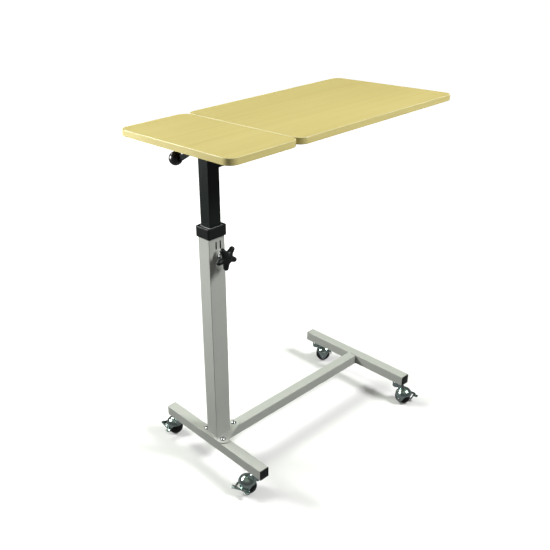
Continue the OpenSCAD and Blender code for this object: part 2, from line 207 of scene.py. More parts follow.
def wood_face(name, dark, midc, light):
    m, nt, b = mk(name)
    vs = coords(nt, (2.2, 150.0, 150.0))
    vb = coords(nt, (0.9, 22.0, 22.0))
    vp = coords(nt, (60.0, 1500.0, 1500.0))
    vw = coords(nt, (1.6, 5.0, 5.0))
    streak = noise(nt, vs, 1.0, 7.0, 0.62, 0.25)
    bands = noise(nt, vb, 1.0, 4.0, 0.55, 0.6)
    pores = noise(nt, vp, 1.0, 2.0, 0.5)
    wide = noise(nt, vw, 1.0, 2.0, 0.5)
    f = mixf(nt, mixf(nt, streak, bands, 0.45), wide, 0.25)
    col = ramp(nt, f, [(0.32, dark), (0.5, midc), (0.68, light)])
    pm = nt.nodes.new("ShaderNodeMix")
    pm.data_type = "RGBA"
    pm.blend_type = "MULTIPLY"
    nt.links.new(rng(nt, pores, 0.0, 0.22), pm.inputs[0])
    nt.links.new(col, pm.inputs[6])
    pm.inputs[7].default_value = (0.80, 0.74, 0.60, 1)
    nt.links.new(pm.outputs[2], b.inputs["Base Color"])
    nt.links.new(rng(nt, streak, 0.40, 0.52), b.inputs["Roughness"])
    b.inputs["Specular IOR Level"].default_value = 0.4
    n = bump(nt, b, streak, 0.10, 0.00012)
    bump(nt, b, pores, 0.06, 0.00006, n)
    return m


def wood_edge(name, dark, light):
    m, nt, b = mk(name)
    vs = coords(nt, (5.0, 5.0, 420.0))
    vb = coords(nt, (14.0, 14.0, 60.0))
    streak = noise(nt, vs, 1.0, 6.0, 0.6, 0.15)
    bands = noise(nt, vb, 1.0, 3.0, 0.5)
    nt.links.new(ramp(nt, mixf(nt, streak, bands, 0.35), [(0.34, dark), (0.66, light)]), b.inputs["Base Color"])
    nt.links.new(rng(nt, streak, 0.26, 0.36), b.inputs["Roughness"])
    bump(nt, b, streak, 0.08, 0.0001)
    return m


LAM = wood_face("maple_laminate", (0.517, 0.426, 0.148), (0.589, 0.496, 0.189), (0.647, 0.558, 0.231))
BAND = wood_edge("maple_edge_band", (0.54, 0.46, 0.175), (0.62, 0.54, 0.22))
# painted highlight: the upper arris of the edge band and a thin strip along the top's rim get a near-white maple
# colour, standing in for the light caught along that edge
ARRIS_HIGHLIGHT = wood_edge("maple_arris_painted_highlight", (0.80, 0.76, 0.50), (0.86, 0.82, 0.58))


# ------------------------------------------------------------------ mesh helpers (all sizes in millimetres)
def piece(name, verts, faces, mats, body, replaces=(), angle=34, mi=None, matrix=None, mesh=None, flat=False):
    if mesh is None:
        me = bpy.data.meshes.new(name)
        me.from_pydata([(v[0] * MM, v[1] * MM, v[2] * MM) for v in verts], [], faces)
        bm = bmesh.new()
        bm.from_mesh(me)
        if mi:
            for f, i in zip(bm.faces, mi):
                f.material_index = i
        bmesh.ops.remove_doubles(bm, verts=bm.verts, dist=1e-7)
        bmesh.ops.recalc_face_normals(bm, faces=bm.faces)
        bm.to_mesh(me)
        bm.free()
        me.shade_smooth()
        me.set_sharp_from_angle(angle=radians(angle))
        for m in mats:
            me.materials.append(m)
    else:
        me = mesh
    ob = bpy.data.objects.new(name, me)
    scene.collection.objects.link(ob)
    if mesh is None and flat:
        wn_ = ob.modifiers.new("normals", "WEIGHTED_NORMAL")
        wn_.keep_sharp = True
    if matrix is not None:
        ob.matrix_world = matrix
    if body:
        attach(ob, body)
    if replaces:
        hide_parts(*replaces)
    return ob


class Geo:
    """Collects vertices and faces, with a material index and a transform."""

    def __init__(self):
        self.v, self.f, self.m = [], [], []

    def add(self, v, f, M=None, mi=0):
        o = len(self.v)
        if M is not None:
            v = [tuple(M @ Vector(p)) for p in v]
        self.v += [tuple(p) for p in v]
        self.f += [tuple(i + o for i in q) for q in f]
        self.m += [mi] * len(f)
        return self


def axis_matrix(origin, zdir, xdir=None):
    z = Vector(zdir).normalized()
    x = Vector(xdir) if xdir else (Vector((1, 0, 0)) if abs(z.x) < 0.9 else Vector((0, 1, 0)))
    x = (x - z * x.dot(z)).normalized()
    y = z.cross(x)
    o = Vector(origin)
    return Matrix(((x.x, y.x, z.x, o.x), (x.y, y.y, z.y, o.y), (x.z, y.z, z.z, o.z), (0, 0, 0, 1)))


def fil(pts, rad, n=5):
    """Rounds the inner corners of an open 2D polyline. rad is a number or one per point."""
    out = [pts[0]]
    for i in range(1, len(pts) - 1):
        r = rad[i] if isinstance(rad, (list, tuple)) else rad
        a, p, b = Vector(pts[i - 1]), Vector(pts[i]), Vector(pts[i + 1])
        u, w = (a - p), (b - p)
        lu, lw = u.length, w.length
        if r <= 0 or lu < 1e-6 or lw < 1e-6:
            out.append(tuple(p))
            continue
        u.normalize()
        w.normalize()
        ang = u.angle(w)
        if ang > pi - 0.03:
            out.append(tuple(p))
            continue
        t = min(r / math.tan(ang / 2), lu * 0.48, lw * 0.48)
        r = t * math.tan(ang / 2)
        c = p + (u + w).normalized() * (r / sin(ang / 2))
        s, e = p + u * t, p + w * t
        a0 = atan2(s.y - c.y, s.x - c.x)
        a1 = atan2(e.y - c.y, e.x - c.x)
        d = (a1 - a0 + pi) % (2 * pi) - pi
        for k in range(n + 1):
            q = a0 + d * k / n
            out.append((c.x + r * cos(q), c.y + r * sin(q)))
    out.append(pts[-1])
    return out


def lathe(prof, n=64, closed=False):
    v, f, rings = [], [], []
    for r, z in prof:
        if r < 1e-6:
            rings.append([len(v)])
            v.append((0, 0, z))
        else:
            rings.append(list(range(len(v), len(v) + n)))
            v += [(r * cos(2 * pi * i / n), r * sin(2 * pi * i / n), z) for i in range(n)]
    pairs = list(zip(rings, rings[1:]))
    if closed:
        pairs.append((rings[-1], rings[0]))
    for a, b in pairs:
        if len(a) == 1 and len(b) == 1:
            continue
        for i in range(n):
            j = (i + 1) % n
            if len(a) == 1:
                f.append((a[0], b[j], b[i]))
            elif len(b) == 1:
                f.append((a[i], a[j], b[0]))
            else:
                f.append((a[i], a[j], b[j], b[i]))
    return v, f


def rr(w, d, r, n=8, cx=0.0, cy=0.0):
    """Rounded rectangle outline, counter-clockwise."""
    out = []
    for sx, sy, a in ((1, 1, 0), (-1, 1, 90), (-1, -1, 180), (1, -1, 270)):
        for k in range(n + 1):
            t = radians(a + 90 * k / n)
            out.append((cx + sx * (w / 2 - r) + r * cos(t), cy + sy * (d / 2 - r) + r * sin(t)))
    return out


def loft(rings, cap0=True, cap1=True, closed=False):
    """Rings of equal length, each a list of 3D points."""
    v, f = [], []
    n = len(rings[0])
    for r in rings:
        v += r
    for k in range(len(rings) - 1):
        for i in range(n):
            j = (i + 1) % n
            f.append((k * n + i, k * n + j, (k + 1) * n + j, (k + 1) * n + i))
    if closed:
        k = len(rings) - 1
        for i in range(n):
            j = (i + 1) % n
            f.append((k * n + i, k * n + j, j, i))
    else:
        if cap0:
            f.append(tuple(range(n - 1, -1, -1)))
        if cap1:
            f.append(tuple(range((len(rings) - 1) * n, len(rings) * n)))
    return v, f


def tube_bar(w, d, r, t, z0, z1, ch=0.3):
    """Square tube with rounded corners and broken ends, along z."""
    o, i = rr(w, d, r), rr(w - 2 * t, d - 2 * t, max(r - t, 0.6))
    def at(p, z, s=0.0):
        out = []
        for x, y in p:
            out.append((x - s * (1 if x > 0 else -1), y - s * (1 if y > 0 else -1), z))
        return out
    rings = [at(o, z0 + ch), at(o, z1 - ch), at(o, z1, ch * 0.8), at(i, z1), at(i, z0), at(o, z0, ch * 0.8)]
    return loft(rings, closed=True)


def plate(outline, z0, z1, e=0.4, n=3):
    """A flat plate from an outline with rounded arrises."""
    P = [Vector(p) for p in outline]
    m = len(P)
    nor = []
    for i in range(m):
        t = (P[(i + 1) % m] - P[i - 1])
        nor.append(Vector((t.y, -t.x)).normalized())
    rings = []
    def ring(off, z):
        return [(p.x - q.x * off, p.y - q.y * off, z) for p, q in zip(P, nor)]
    for k in range(n + 1):
        a = pi / 2 * k / n
        rings.append(ring(e * (1 - sin(a)), z0 + e * (1 - cos(a))))
    for k in range(n + 1):
        a = pi / 2 * k / n
        rings.append(ring(e * (1 - cos(a)), z1 - e * (1 - sin(a))))
    return loft(rings)


def sweep(path, section, closed=False, up=Vector((0, 0, 1)), scale=None):
    """section: 2D points (side, up) swept along a 3D path."""
    P = [Vector(p) for p in path]
    m = len(P)
    rings = []
    for i, p in enumerate(P):
        if closed:
            t = P[(i + 1) % m] - P[i - 1]
        else:
            t = P[min(i + 1, m - 1)] - P[max(i - 1, 0)]
        t.normalize()
        s = t.cross(up).normalized()
        u = s.cross(t).normalized()
        k = scale(i / (m - 1)) if scale else (1, 1)
        rings.append([tuple(p + s * (a * k[0]) + u * (b * k[1])) for a, b in section])
    return loft(rings, closed=closed)


def circle(r, n=12):
    return [(r * cos(2 * pi * i / n), r * sin(2 * pi * i / n)) for i in range(n)]


def bead(path, r, closed=True, up=Vector((0, 0, 1)), pitch=2.6, amp=0.10, step=0.55):
    """A weld bead: a round bead with ripples along a path."""
    P = [Vector(p) for p in path]
    if closed:
        P.append(P[0])
    pts, acc = [], [0.0]
    for a, b in zip(P, P[1:]):
        acc.append(acc[-1] + (b - a).length)
    total = acc[-1]
    m = max(8, int(total / step))
    j = 0
    for i in range(m if closed else m + 1):
        s = total * i / m
        while j < len(P) - 2 and acc[j + 1] < s:
            j += 1
        seg = acc[j + 1] - acc[j]
        pts.append(P[j].lerp(P[j + 1], (s - acc[j]) / seg if seg > 0 else 0))
    cyc = max(1, round(total / pitch))
    mm = len(pts)
    rings = []
    for i, p in enumerate(pts):
        t = (pts[(i + 1) % mm] - pts[i - 1]) if closed else (pts[min(i + 1, mm - 1)] - pts[max(i - 1, 0)])
        t.normalize()
        s_ = t.cross(up)
        if s_.length < 1e-4:
            s_ = t.cross(Vector((0, 1, 0)))
        s_.normalize()
        u_ = s_.cross(t).normalized()
        ph = (i / m) * cyc % 1.0
        k = 1 + amp * (2 * abs(sin(pi * ph)) - 1) + 0.05 * sin(i * 0.37) * sin(i * 0.111 + 1)
        rings.append([tuple(p + s_ * (r * k * cos(2 * pi * q / 12)) + u_ * (r * k * sin(2 * pi * q / 12))) for q in range(12)])
    return loft(rings, closed=closed)


def hexr(theta, apothem):
    a = (theta + pi / 6) % (pi / 3) - pi / 6
    return apothem / cos(a)


def hexhead(af, h, ch=0.6, n=72, bore=0.0):
    """Hex head or nut: across-flats af, height h, chamfered corners."""
    rc = af / 2 / cos(pi / 6)
    rings = []
    def ring(lim, z):
        return [(min(hexr(2 * pi * i / n, af / 2), lim) * cos(2 * pi * i / n), min(hexr(2 * pi * i / n, af / 2), lim) * sin(2 * pi * i / n), z) for i in range(n)]
    rings += [ring(af / 2 * 0.96, 0), ring(af / 2 * 1.0, 0.05), ring(rc - 0.05, ch), ring(rc, h - ch), ring(af / 2 * 1.0, h - 0.05), ring(af / 2 * 0.93, h)]
    return loft(rings)


ROTX = lambda a: Matrix.Rotation(radians(a), 4, "X")
ROTY = lambda a: Matrix.Rotation(radians(a), 4, "Y")
ROTZ = lambda a: Matrix.Rotation(radians(a), 4, "Z")
T = lambda x, y, z: Matrix.Translation(Vector((x, y, z)))
COL = T(CX, 0, 0)


# ------------------------------------------------------------------ table tops
def board(name, node, body):
    a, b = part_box(node)
    a, b = a / MM, b / MM
    w, d = b.x - a.x, b.y - a.y
    mx, my = (a.x + b.x) / 2, (a.y + b.y) / 2
    R = 25.0
    g = Geo()
    rings, tags = [], []
    def ring(off, z):
        return [(x, y, z) for x, y in rr(w - 2 * off, d - 2 * off, R - off, 20, mx, my)]
    bt, tp, e0, e1 = a.z, b.z, 1.0, 0.6
    seq = [(2.4, bt, 0), (2.1, bt, 1), (e0, bt, 1)]
    for k in range(1, 6):
        t = pi / 2 * k / 5
        seq.append((e0 * (1 - sin(t)), bt + e0 * (1 - cos(t)), 1))
    # the upper half of the top arris and the thin strip along the top's rim take material 2, the painted highlight
    for k in range(0, 7):
        t = pi / 2 * k / 6
        seq.append((e1 * (1 - cos(t)), tp - e1 * (1 - sin(t)), 1 if k < 3 else 2))
    seq += [(1.2, tp, 2), (1.23, tp - 0.04, 2), (1.3, tp - 0.04, 2), (1.33, tp, 2)]
    for off, z, m in seq:
        rings.append(ring(off, z))
        tags.append(m)
    n = len(rings[0])
    v, f, mi = [], [], []
    for r in rings:
        v += r
    for k in range(len(rings) - 1):
        for i in range(n):
            j = (i + 1) % n
            f.append((k * n + i, k * n + j, (k + 1) * n + j, (k + 1) * n + i))
            mi.append(tags[k + 1])
    f.append(tuple(range(n - 1, -1, -1)))
    mi.append(0)
    f.append(tuple(range((len(rings) - 1) * n, len(rings) * n)))
    mi.append(0)
    return piece(name, v, f, [LAM, BAND, ARRIS_HIGHLIGHT], body, (node,), angle=30, mi=mi, flat=True)


board("small_board", "small_top", "mast")
board("main_board", "main_top", "tilting_top")


# ------------------------------------------------------------------ base tubes
def along(axis, x, y, z):
    """Matrix that lays a local z bar along X or Y, centred at a point."""
    if axis == "Y":
        return T(x, y, z) @ ROTX(-90)
    if axis == "X":
        return T(x, y, z) @ ROTY(90) @ ROTZ(90)
    return T(x, y, z)


ZB = (T0 + T1) / 2
TB = T1 - T0
for nm in ("front_crossbar", "rear_crossbar"):
    a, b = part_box(nm)
    a, b = a / MM, b / MM
    g = Geo().add(*tube_bar(TB, TB, 1.8, 1.5, a.y, b.y), along("Y", (a.x + b.x) / 2, 0, ZB))
    piece(nm + "_tube", g.v, g.f, [GREY], "base", (nm,), flat=True)
a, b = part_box("stem_tube")
a, b = a / MM, b / MM
g = Geo().add(*tube_bar(TB, TB, 1.8, 1.5, a.x, b.x, 0.1), along("X", 0, 0, ZB))
piece("stem_bar", g.v, g.f, [GREY], "base", ("stem_tube",), flat=True)
SX0, SX1 = a.x, b.x
FX, RX = SX0 - TB / 2, SX1 + TB / 2

# column and flange keep their CAD mesh; the flange gets soft arrises and both get smoothed normals; see carry() below

# end caps: dished face, soft rim, ribbed plug
g = Geo()
for x in (FX, RX):
    for s in (1, -1):
        M = T(x, 0, ZB) @ ROTZ(0 if s > 0 else 180) @ T(0, 200, 0) @ ROTX(-90)
        rings = []
        for w_, r_, z_ in ((27.6, 1.0, -2.0), (29.9, 1.7, -2.0), (30.3, 1.8, -1.7), (30.4, 1.8, -1.0), (30.2, 1.7, -0.45), (29.7, 1.5, -0.08), (28.9, 1.3, 0.0),
                           (27.0, 1.1, -0.02), (26.4, 1.0, -0.25), (25.7, 0.9, -0.85), (24.8, 0.8, -1.0), (12.0, 0.6, -0.8), (4.0, 0.4, -0.7)):
            rings.append([(px, py, z_) for px, py in rr(w_, w_, r_, 6)])
        g.add(*loft(rings), M)
        for k in range(3):
            zz = -4.5 - 3.2 * k
            g.add(*loft([[(px, py, z) for px, py in rr(w_, w_, 1.0, 6)] for w_, z in ((26.2, zz - 1.0), (27.8, zz - 0.4), (27.8, zz), (26.2, zz + 0.6))]), M)
        g.add(*loft([[(px, py, z) for px, py in rr(26.2, 26.2, 1.0, 6)] for z in (-14, -2)]), M)
piece("end_caps", g.v, g.f, [PLAST], "base", ("crossbar_end_caps",), flat=True)

# flange bolts: domed heads with hexagon sockets
BOLTS = [(-16, -34), (-16, 34), (56, 0)]


def button(seg=48):
    v, f = [], []
    prof = fil([(4.0, 0.0), (6.7, 0.0), (7.0, 0.35), (6.9, 1.1), (6.0, 2.6), (4.6, 3.7), (3.5, 4.1), (3.05, 4.15)], [0, 0.2, 0.3, 0.8, 2, 2, 0.3, 0], 4)
    rings = []
    for r, z in prof:
        rings.append([(r * cos(2 * pi * i / seg), r * sin(2 * pi * i / seg), z) for i in range(seg)])
    for ap, z in ((2.62, 3.85), (2.5, 3.6), (2.5, 1.5), (1.2, 1.1)):
        rings.append([(hexr(2 * pi * i / seg, ap) * cos(2 * pi * i / seg), hexr(2 * pi * i / seg, ap) * sin(2 * pi * i / seg), z) for i in range(seg)])
    return loft(rings, cap0=False)


g = Geo()
for i, (x, y) in enumerate(BOLTS):
    M = T(CX + x, y, PLT) @ ROTZ(17 + 41 * i)
    g.add(*button(), M)
    g.add(*lathe([(0, -20), (3.6, -20), (4.0, -19.5), (4.0, 0.2)], 32), M)
piece("flange_button_bolts", g.v, g.f, [DARKCH], "base", ("flange_bolts",))
# painted shade: a thin black ring under each flange bolt head, standing in for the dark shadow gap round the head
g = Geo()
for x, y in BOLTS:
    g.add(*lathe([(4.3, 0.02), (8.0, 0.02), (8.1, 0.2), (7.9, 0.34), (4.3, 0.34)], 48, closed=True), T(CX + x, y, PLT))
piece("bolt_shade_rings", g.v, g.f, [PLAST], "base")

# weld beads
g = Geo()
g.add(*bead([(x, y, PLT + 0.7) for x, y in rr(CW + 1.2, CD + 1.2, 2.2, 6, CX, 0)], 1.7))
for x, s in ((SX0, 1), (SX1, -1)):
    g.add(*bead([(x + s * 0.7, y, z + ZB) for y, z in rr(TB + 0.8, TB + 0.8, 2.2, 5)], 1.3, up=Vector((1, 0, 0))))
g.add(*bead([(CX + 11.8 * cos(t * pi / 18), -CD / 2 - 0.1, KZ + 11.8 * sin(t * pi / 18)) for t in range(36)], 1.5, up=Vector((0, 1, 0))))
piece("base_weld_beads", g.v, g.f, [WELD], "base", angle=60)

# clamp boss with a chamfered mouth
MK = T(CX, 0, KZ) @ ROTX(90)      # local z points out of the column, towards the knob
B0, B1 = CD / 2 - 0.1, -lo("clamp_boss").y / MM
prof = fil([(5.05, B0), (11.5, B0), (11.5, B1 - 2.4), (9.1, B1 - 1.6), (9.1, B1 - 0.5), (8.6, B1), (5.6, B1), (5.05, B1 - 0.5)], [0, 0, 0.9, 0.5, 0.3, 0.2, 0.2, 0], 3)
g = Geo().add(*lathe(prof, 48, closed=True), MK)
piece("clamp_boss_turned", g.v, g.f, [GREY], "base", ("clamp_boss",))

# ------------------------------------------------------------------ column collar
Z0, Z1 = lo("column_collar").z / MM, hi("column_collar").z / MM
ZC = hi("outer_column").z / MM - 25.5
OW, OD = (hi("column_collar").x - lo("column_collar").x) / MM, (hi("column_collar").y - lo("column_collar").y) / MM
ZB0 = hi("column_collar").z / MM - 28.0
rings = []
for w_, d_, r_, z_ in ((CW + 0.2, CD + 0.2, 1.8, Z1 - 2.6), (CW + 0.2, CD + 0.2, 1.8, ZB0), (OW - 1.0, OD - 1.0, 3.6, ZB0), (OW - 0.3, OD - 0.3, 3.9, ZB0 + 0.25), (OW, OD, 4.0, ZB0 + 0.9),
                       (OW, OD, 4.0, Z1 - 1.6), (OW - 0.3, OD - 0.3, 3.9, Z1 - 0.7), (OW - 1.1, OD - 1.1, 3.7, Z1 - 0.15), (OW - 2.2, OD - 2.2, 3.4, Z1),
                       (OW - 5.0, OD - 5.0, 2.6, Z1), (OW - 5.8, OD - 5.8, 2.4, Z1 - 0.25), (OW - 6.4, OD - 6.4, 2.3, Z1 - 0.8), (OW - 6.8, OD - 6.8, 2.2, Z1 - 2.2)):
    rings.append([(x, y, z_) for x, y in rr(w_, d_, r_, 8, CX, 0)])
g = Geo().add(*loft(rings, closed=True))
piece("collar_shell", g.v, g.f, [PLAST], "base", ("column_collar",), flat=True)
# sunk inner plate, and a light lip round the inner tube
rings = []
for w_, d_, r_, z_ in ((CW - 5.2, CD - 5.2, 1.2, Z1 - 56), (CW - 5.2, CD - 5.2, 1.2, Z1 - 6.0), (OW - 7.2, OD - 7.2, 2.0, Z1 - 5.9), (OW - 7.2, OD - 7.2, 2.0, Z1 - 2.4),
                       (IW + 4.2, IW + 4.2, 3.2, Z1 - 2.0), (IW + 3.8, IW + 3.8, 3.1, Z1 - 2.4), (IW + 4.2, IW + 4.2, 3.1, Z1 - 56)):
    rings.append([(x, y, z_) for x, y in rr(w_, min(d_, OD - 6.8) if z_ > Z1 - 6 else d_, r_, 8, CX, 0)])
g = Geo().add(*loft(rings, closed=True))
piece("collar_plate", g.v, g.f, [PLAST], "base", flat=True)
rings = []
for w_, r_, z_ in ((IW + 3.6, 3.0, Z1 - 50), (IW + 3.6, 3.0, Z1 - 1.0), (IW + 3.2, 2.9, Z1 - 0.5), (IW + 1.8, 2.6, Z1 - 0.5), (IW + 1.0, 2.4, Z1 - 1.2), (IW + 0.8, 2.3, Z1 - 50)):
    rings.append([(x, y, z_) for x, y in rr(w_, w_, r_, 8, CX, 0)])
g = Geo().add(*loft(rings, closed=True))
piece("collar_guide", g.v, g.f, [INSERT], "base", flat=True)

# painted shade: a black liner behind the slots of the column, standing in for the shade inside it
g = Geo().add(*plate(rr(24, 27, 1.0, 4, 4.0, 0), CD / 2 - 2.0, CD / 2 - 1.6, 0.1, 1), T(CX, 0, 695) @ ROTX(90))
for x in (-3.0, 11.0):          # black tabs, shaped as the collar's snap tabs, fill the slots so they read solid dark: painted shade
    g.add(*plate(rr(4.0, 21.6, 0.4, 3, x, 0), CD / 2 - 1.7, CD / 2 - 0.5, 0.25, 2), T(CX, 0, 695) @ ROTX(90))
piece("slot_shade_liner", g.v, g.f, [PLAST], "base")

# ------------------------------------------------------------------ mast
a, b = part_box("inner_column")
a, b = a / MM, b / MM
g = Geo().add(*tube_bar(IW, IW, 2.2, 1.5, a.z, b.z, 0.1), T(CX, 0, 0))
g.add(*plate(rr(IW - 2.6, IW - 2.6, 1.2, 5, CX, 0), b.z - 3.0, b.z - 0.02, 0.3, 2))
piece("inner_tube", g.v, g.f, [BLACKP], "mast", ("inner_column",), flat=True)
a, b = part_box("support_arm")
a, b = a / MM, b / MM
g = Geo().add(*tube_bar(IW, IW, 2.2, 1.5, a.x, b.x), along("X", 0, 0, (ARM0 + ARM1) / 2))
piece("arm_tube", g.v, g.f, [BLACKP], "mast", ("support_arm",), flat=True)
g = Geo()
zc = (ARM0 + ARM1) / 2
M = T(b.x, 0, zc) @ ROTY(90)
rings = []
for w_, r_, z_ in ((31.6, 1.0, -12), (31.6, 1.0, 0.0), (34.6, 1.8, 0.0), (35.2, 2.0, 0.4), (35.2, 2.0, 1.2), (34.6, 1.8, 1.8), (33.4, 1.6, 2.0), (30.0, 1.4, 1.95), (28.8, 1.2, 1.4), (27.0, 1.0, 1.2), (6.0, 0.6, 1.4)):
    rings.append([(px, py, z_) for px, py in rr(w_, w_, r_, 6)])
g.add(*loft(rings), M)
piece("arm_cap", g.v, g.f, [PLAST], "mast", ("arm_end_cap",), flat=True)
g = Geo()
g.add(*bead([(a.x + 0.5, y, z + zc) for y, z in rr(IW - 1.0, IW - 1.0, 2.0, 5)], 1.3, up=Vector((1, 0, 0))))
piece("mast_weld_bead", g.v, g.f, [BLACKP], "mast", angle=60)


# ------------------------------------------------------------------ tilt shaft
a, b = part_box("tilt_shaft")
a, b = a / MM, b / MM
L = b.x - a.x
prof = fil([(0, 0), (9.0, 0), (10.0, 1.0), (10.0, L - 1.0), (9.0, L), (0, L)], 0, 2)
g = Geo().add(*lathe(prof, 48), T(a.x, 0, AXZ) @ ROTY(90))
piece("tilt_shaft_turned", g.v, g.f, [ZINC], "tilting_top", ("tilt_shaft",))

# ------------------------------------------------------------------ tilt lever and its ball
HUBZ = lo("tilt_lever").z / MM
bc = mid("lever_ball") / MM
BR = (hi("lever_ball").x - lo("lever_ball").x) / MM / 2 * 1.04
HX, HY = CX, 32.0
HZ = AXZ - 19.5
ldir = Vector((bc.x - HX, bc.y - HY, 0)).normalized()
LL = sqrt((bc.x - HX) ** 2 + (bc.y - HY) ** 2)
lside = Vector((ldir.y, -ldir.x, 0))
flat = fil([(6, HZ + 1), (LL - 17.6, bc.z - 5.5), (LL - 16.4, bc.z - 1.0), (LL - 17.6, bc.z + 12), (LL - 32, bc.z + 18), (34, HZ + 9), (6, HZ + 9)], [0, 2.5, 4, 4, 18, 12, 0], 6)
ML = Matrix(((ldir.x, 0, lside.x, HX), (ldir.y, 0, lside.y, HY), (0, 1, 0, 0), (0, 0, 0, 1)))
g = Geo().add(*plate(flat, -3.0, 3.0, 0.7, 3), ML)
g.add(*lathe(fil([(4.05, 0), (10.4, 0), (11.0, 0.6), (11.0, 9.7), (10.2, 10.5), (4.05, 10.5)], [0, 0.3, 0.3, 0.4, 0.4, 0], 3), 56, closed=True), T(HX, HY, HZ))
g.add(*lathe([(0, 0), (5.4, 0), (5.6, 0.5), (5.2, 4.0), (4.4, 8.0), (4.0, 13.5), (0, 13.5)], 40), axis_matrix((HX + ldir.x * (LL - 20), HY + ldir.y * (LL - 20), bc.z), ldir))
piece("lever_arm", g.v, g.f, [BLACKP], "lever", ("tilt_lever",), flat=True)
# ball: lower neck with a flat, fine parting line round the middle
prof = []
for k in range(0, 97):
    t = pi * k / 96
    r, z = BR * sin(t), -BR * cos(t)
    if z < -BR + 1.9:
        continue
    if abs(z) < 0.35:
        r += 0.06 * (1 - abs(z) / 0.35)
    prof.append((r if k < 96 else 0, z))
r0 = sqrt(BR * BR - (BR - 1.9) ** 2)
prof = [(4.0, -BR + 3.4), (5.2, -BR + 2.2), (5.8, -BR + 1.9), (r0 - 0.4, -BR + 1.9)] + prof
g = Geo().add(*lathe(prof, 96), axis_matrix(tuple(bc), ldir))
piece("ball_knob", g.v, g.f, [GLOSS], "lever", ("lever_ball",))

# ------------------------------------------------------------------ clamp knob
# threaded screw
def thread(r, z0, z1, pitch=1.5, depth=0.9, n=40, per=8):
    rings = []
    m = int((z1 - z0) / pitch * per)
    for k in range(m + 1):
        z = z0 + (z1 - z0) * k / m
        ring = []
        for i in range(n):
            ph = (z / pitch + i / n) % 1.0
            h = 1 - abs(2 * ph - 1)
            h = min(1.0, max(0.0, (h - 0.12) / 0.76))
            fade = min(1.0, (z - z0) / 1.5, (z1 - z) / 1.5 + 0.35)
            ring.append(((r - depth + depth * h * fade) * cos(2 * pi * i / n), (r - depth + depth * h * fade) * sin(2 * pi * i / n), z))
        rings.append(ring)
    return loft(rings)


ky0, ky1 = -hi("clamp_screw").y / MM, -lo("clamp_screw").y / MM
g = Geo().add(*thread(5.0, ky0, ky1), MK)
piece("clamp_screw_threaded", g.v, g.f, [ZINC], "knob", ("clamp_screw",), angle=50)
w0, w1 = -hi("clamp_washer").y / MM, -lo("clamp_washer").y / MM
g = Geo().add(*lathe(fil([(5.1, w0), (10.2, w0), (10.5, w0 + 0.3), (10.5, w1 - 0.3), (10.2, w1), (5.1, w1)], [0, 0.15, 0.15, 0.15, 0.15, 0], 3), 56, closed=True), MK)
piece("clamp_washer_turned", g.v, g.f, [DARKCH], "knob", ("clamp_washer",))

KR = 33.0
NL = 5
LOBES = [radians(72 * k - 97) for k in range(NL)]


def uneven(x, y, r1, r2, h):
    x = abs(x)
    b = (r1 - r2) / h
    a = sqrt(1 - b * b)
    k = -b * x + a * y
    if k < 0:
        return sqrt(x * x + y * y) - r1
    if k > a * h:
        return sqrt(x * x + (y - h) ** 2) - r2
    return x * a + y * b - r1


def smin(a, b, k):
    h = max(k - abs(a - b), 0.0) / k
    return min(a, b) - h * h * k * 0.25


def star(x, y):
    d = sqrt(x * x + y * y) - 15.0
    for t in LOBES:
        c, s = cos(t), sin(t)
        u, w = x * c + y * s, -x * s + y * c
        d = smin(d, uneven(w, u, 11.0, 6.6, KR - 6.6), 6.0)
    return d


NA, NR = 240, 30
outr = []
for i in range(NA):
    t = 2 * pi * i / NA
    a_, b_ = 8.0, 40.0
    for _ in range(30):
        m_ = (a_ + b_) / 2
        if star(m_ * cos(t), m_ * sin(t)) < 0:
            a_ = m_
        else:
            b_ = m_
    outr.append((a_ + b_) / 2)
KB = -hi("star_knob").y / MM - 38.0      # shift of the knob along its axis
KMID = 54.3 + KB


def knob_z(x, y, front):
    d = max(0.0, -star(x, y))
    rho = sqrt(x * x + y * y)
    R = 6.2
    q = min(d, R)
    h = sqrt(max(0.0, R * R - (R - q) ** 2)) / R
    if not front:
        return KMID - 7.0 * h
    z = KMID + 6.4 * h
    z += 0.9 * min(1.0, d / 11.0)
    z += 1.6 * exp(-(rho / 13.5) ** 4)
    ring = exp(-((rho - 9.4) / 0.55) ** 2)
    z -= 0.75 * ring
    z += 0.35 * max(0.0, 1 - (rho / 9.0) ** 2)
    return z


v, f = [], []
grid = {}
rad = [(k / NR) for k in range(NR + 1)]
rad = [1 - (1 - s) ** 1.35 for s in rad]
for side in (0, 1):
    for k in range(NR + 1):
        for i in range(NA):
            if k == 0 and i > 0:
                grid[(side, k, i)] = grid[(side, 0, 0)]
                continue
            if side == 1 and k == NR:
                grid[(1, k, i)] = grid[(0, k, i)]
                continue
            r = outr[i] * rad[k]
            t = 2 * pi * i / NA
            x, y = r * cos(t), r * sin(t)
            z = KMID if k == NR else knob_z(x, y, side == 0)
            grid[(side, k, i)] = len(v)
            v.append((x, y, z))
for side in (0, 1):
    for k in range(NR):
        for i in range(NA):
            j = (i + 1) % NA
            q = [grid[(side, k, i)], grid[(side, k + 1, i)], grid[(side, k + 1, j)], grid[(side, k, j)]]
            q = [q[n_] for n_ in range(4) if q[n_] not in q[:n_]]
            if len(q) >= 3:
                f.append(tuple(q if side == 0 else q[::-1]))
g = Geo().add(v, f, MK)
g.add(*lathe(fil([(5.2, KB + 38.0), (9.6, KB + 38.0), (10.5, KB + 38.9), (11.2, KB + 47.6), (5.2, KB + 48.5)], [0, 0.6, 1.0, 0, 0], 4), 56, closed=True), MK)
piece("star_grip", g.v, g.f, [PLAST], "knob", ("star_knob",), angle=50)


# ------------------------------------------------------------------ casters
CAST = [(FX - CX, 1, 82), (FX - CX, -1, 117), (RX - CX, 1, 313), (RX - CX, -1, 280)]
TR, WR, CZ = 25.0, 24.0, -50.0
HR, HI, HUP = 25.8, 24.9, 7.5


